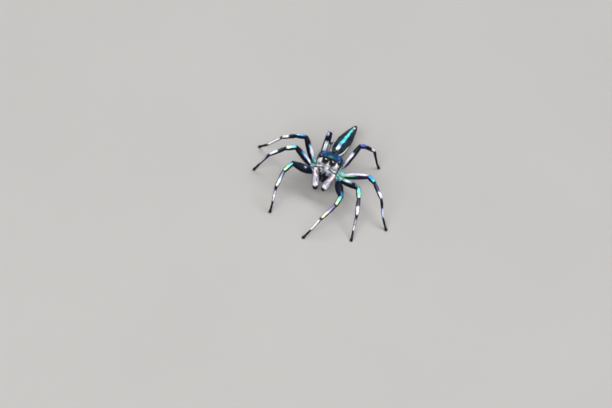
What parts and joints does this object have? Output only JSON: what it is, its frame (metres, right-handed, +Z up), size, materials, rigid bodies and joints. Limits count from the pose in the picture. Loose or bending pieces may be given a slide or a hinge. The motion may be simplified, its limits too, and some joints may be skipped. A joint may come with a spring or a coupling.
{
  "type": "sea-green northern jumping spider",
  "caption": "Still, life-size jumping spider standing with legs spread: blue-green scaled head, large front eyes, pale palps, banded legs, slender dark abdomen with a cyan stripe.",
  "frame": {"origin": "on the floor under the middle of the whole outline", "axes": "+Z up, the face towards -Y, the spider's own left side towards +X"},
  "size_m": [0.0126, 0.0126, 0.0036],
  "materials": {
    "carapace_scales": "deep blue and teal metallic scales over black, dark at the eyes",
    "eye_lens": "black, wet gloss",
    "jaw_cuticle": "dark grey-black with silver hairs",
    "palp_scales": "pinkish white scales with a black tip",
    "leg_cuticle": "black with bands of turquoise, white and lilac scales",
    "abdomen_scales": "black-violet sheen with a cyan stripe down the middle",
    "spinneret_skin": "dark brown-grey, matte, with fine hairs"
  },
  "bodies": {
    "root": {"cephalothorax": "carapace_scales", "pedicel": "leg_cuticle", "abdomen": "abdomen_scales", "spinnerets": "spinneret_skin", "mouthparts": "jaw_cuticle", "chelicera_left": "jaw_cuticle", "palp_left_femur": "palp_scales", "palp_left_tip": "palp_scales", "eye_front_main_left": "eye_lens", "eye_front_side_left": "eye_lens", "eye_small_left": "eye_lens", "eye_rear_left": "eye_lens", "leg_1_left_femur": "leg_cuticle", "leg_1_left_shank": "leg_cuticle", "leg_1_left_foot": "leg_cuticle", "leg_2_left_femur": "leg_cuticle", "leg_2_left_shank": "leg_cuticle", "leg_2_left_foot": "leg_cuticle", "leg_3_left_femur": "leg_cuticle", "leg_3_left_shank": "leg_cuticle", "leg_3_left_foot": "leg_cuticle", "leg_4_left_femur": "leg_cuticle", "leg_4_left_shank": "leg_cuticle", "leg_4_left_foot": "leg_cuticle", "chelicera_right": "jaw_cuticle", "palp_right_femur": "palp_scales", "palp_right_tip": "palp_scales", "eye_front_main_right": "eye_lens", "eye_front_side_right": "eye_lens", "eye_small_right": "eye_lens", "eye_rear_right": "eye_lens", "leg_1_right_femur": "leg_cuticle", "leg_1_right_shank": "leg_cuticle", "leg_1_right_foot": "leg_cuticle", "leg_2_right_femur": "leg_cuticle", "leg_2_right_shank": "leg_cuticle", "leg_2_right_foot": "leg_cuticle", "leg_3_right_femur": "leg_cuticle", "leg_3_right_shank": "leg_cuticle", "leg_3_right_foot": "leg_cuticle", "leg_4_right_femur": "leg_cuticle", "leg_4_right_shank": "leg_cuticle", "leg_4_right_foot": "leg_cuticle"}
  },
  "joints": []
}
